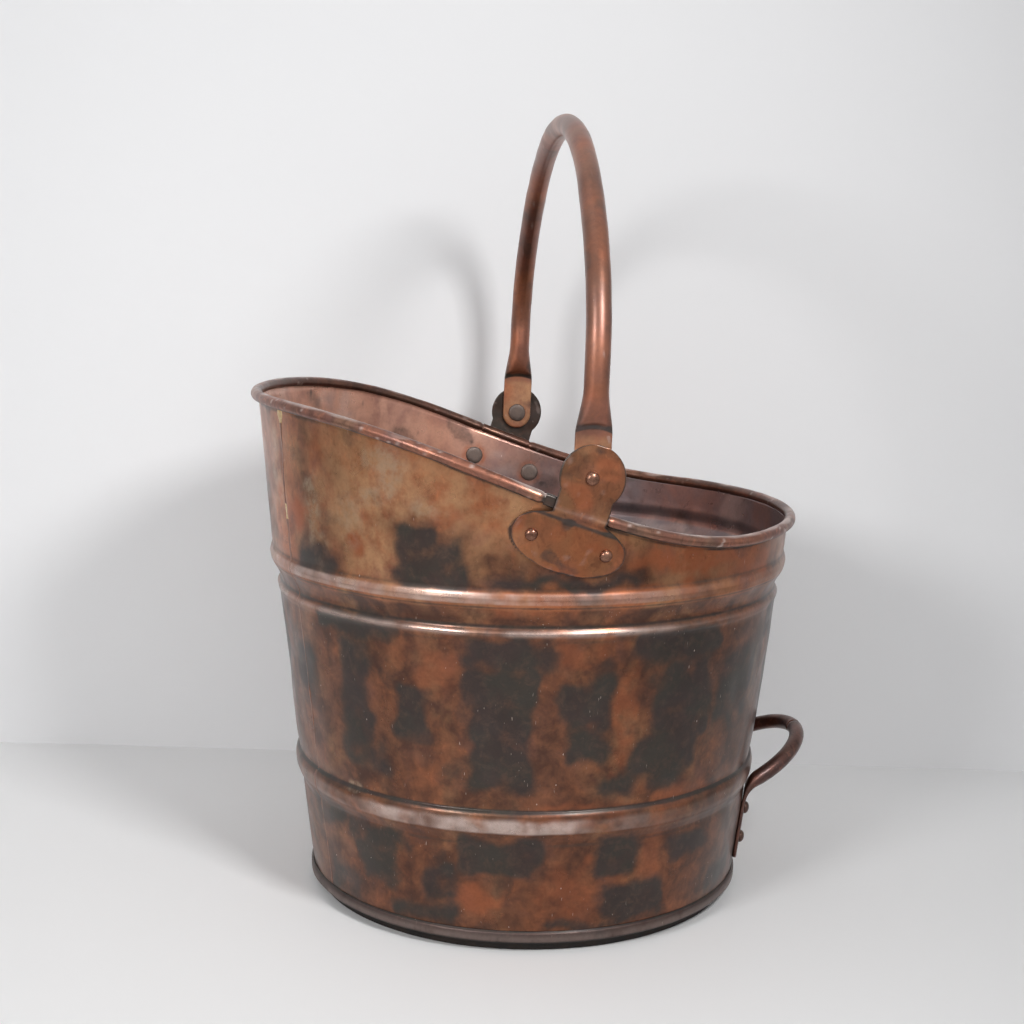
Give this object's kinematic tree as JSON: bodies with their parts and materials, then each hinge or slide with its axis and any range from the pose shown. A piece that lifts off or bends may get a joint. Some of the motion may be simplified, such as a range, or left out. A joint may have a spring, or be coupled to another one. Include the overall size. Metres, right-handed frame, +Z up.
{
  "type": "coal scuttle",
  "caption": "Tapered copper coal bucket with a sloping rolled rim and pouring lip, a swinging tube bail on riveted ears and a fixed loop handle low on the back",
  "frame": {"origin": "middle of the underside, on the floor", "axes": "+Z up, -X toward the pouring lip, +X toward the back handle, -Y the left side for someone who stands behind the bucket"},
  "size_m": [0.3954, 0.3842, 0.5345],
  "materials": {
    "copper_body": "aged brown copper with dark patina, half polished",
    "copper_plate": "smooth aged brown copper",
    "copper_tube": "aged red-brown copper, worn smooth",
    "copper_dark": "dark red-brown copper",
    "rivet_copper": "dull copper with worn bright spots",
    "spelter": "dull yellow brazing",
    "black_iron": "blackened sheet iron",
    "wire_iron": "plain iron wire"
  },
  "bodies": {
    "bucket": {"body_shell": "copper_body", "seam_braze": "spelter", "base_pan": "black_iron", "foot_band": "copper_dark", "rim_roll": "copper_body", "rim_wire": "wire_iron", "ear_left": "copper_plate", "ear_right": "copper_plate", "ear_rivet_left_front": "rivet_copper", "ear_rivet_left_rear": "rivet_copper", "ear_rivet_right_front": "rivet_copper", "ear_rivet_right_rear": "rivet_copper", "pivot_rivet_left": "rivet_copper", "pivot_rivet_right": "rivet_copper", "back_handle": "copper_dark", "grip_rivet_left_upper": "rivet_copper", "grip_rivet_left_lower": "rivet_copper", "grip_rivet_right_upper": "rivet_copper", "grip_rivet_right_lower": "rivet_copper"},
    "bail": {"bail_arch": "copper_tube", "bail_end_left": "copper_tube", "bail_end_right": "copper_tube"}
  },
  "joints": [
    {"name": "bail_swing", "type": "hinge", "parent": "bucket", "child": "bail", "pos_m": [0.013, 0, 0.3125], "axis": [0, 1, 0], "range_deg": [-79, 123]}
  ]
}
